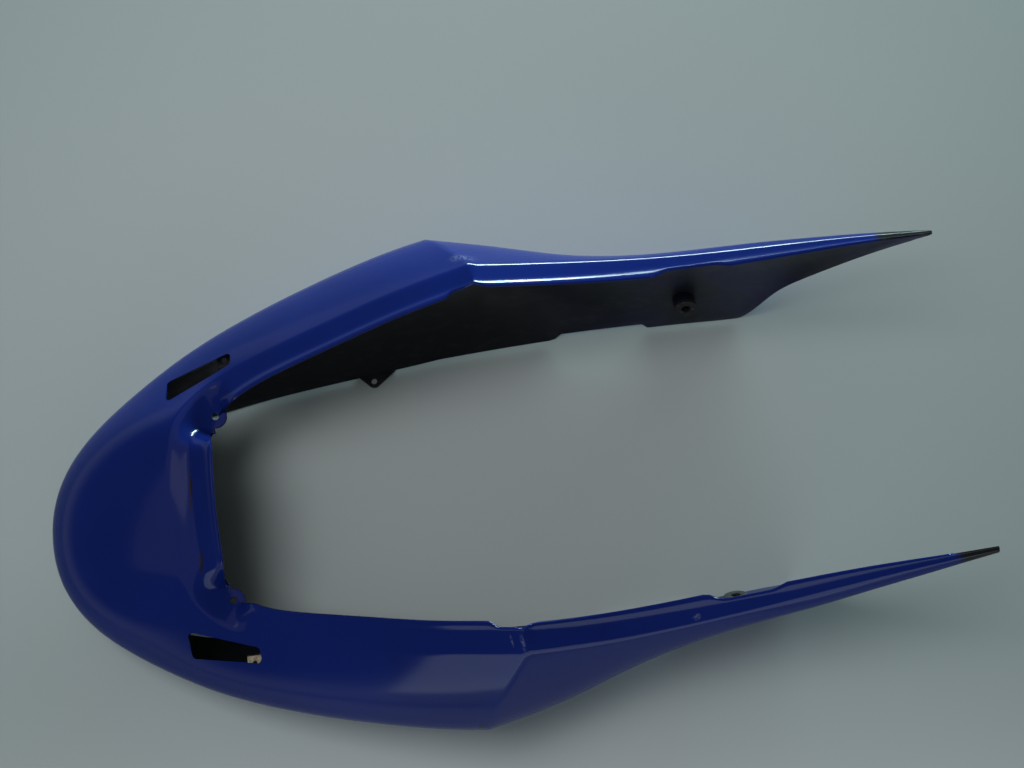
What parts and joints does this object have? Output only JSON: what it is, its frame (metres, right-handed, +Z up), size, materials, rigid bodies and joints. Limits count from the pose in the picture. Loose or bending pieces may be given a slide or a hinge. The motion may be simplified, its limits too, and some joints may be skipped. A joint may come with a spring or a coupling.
{
  "type": "motorcycle tail fairing",
  "caption": "Thin glossy tail cowl that wraps round the back of a seat, with a flanged seat opening, screw tabs, grab rail slots and rubber-lined peg sockets.",
  "frame": {"origin": "on the floor, below the middle of the cowl's length and width", "axes": "+X forward, +Y to the rider's left, +Z up"},
  "size_m": [0.788, 0.43, 0.1688],
  "materials": {
    "painted_shell": "clear-coated blue paint outside, raw black plastic inside",
    "rubber": "matt moulded rubber",
    "spring_steel": "yellow-passivated spring steel"
  },
  "bodies": {
    "root": {"cowl": "painted_shell", "grommet_left": "rubber", "grommet_right": "rubber", "clip_nut": "spring_steel"}
  },
  "joints": []
}
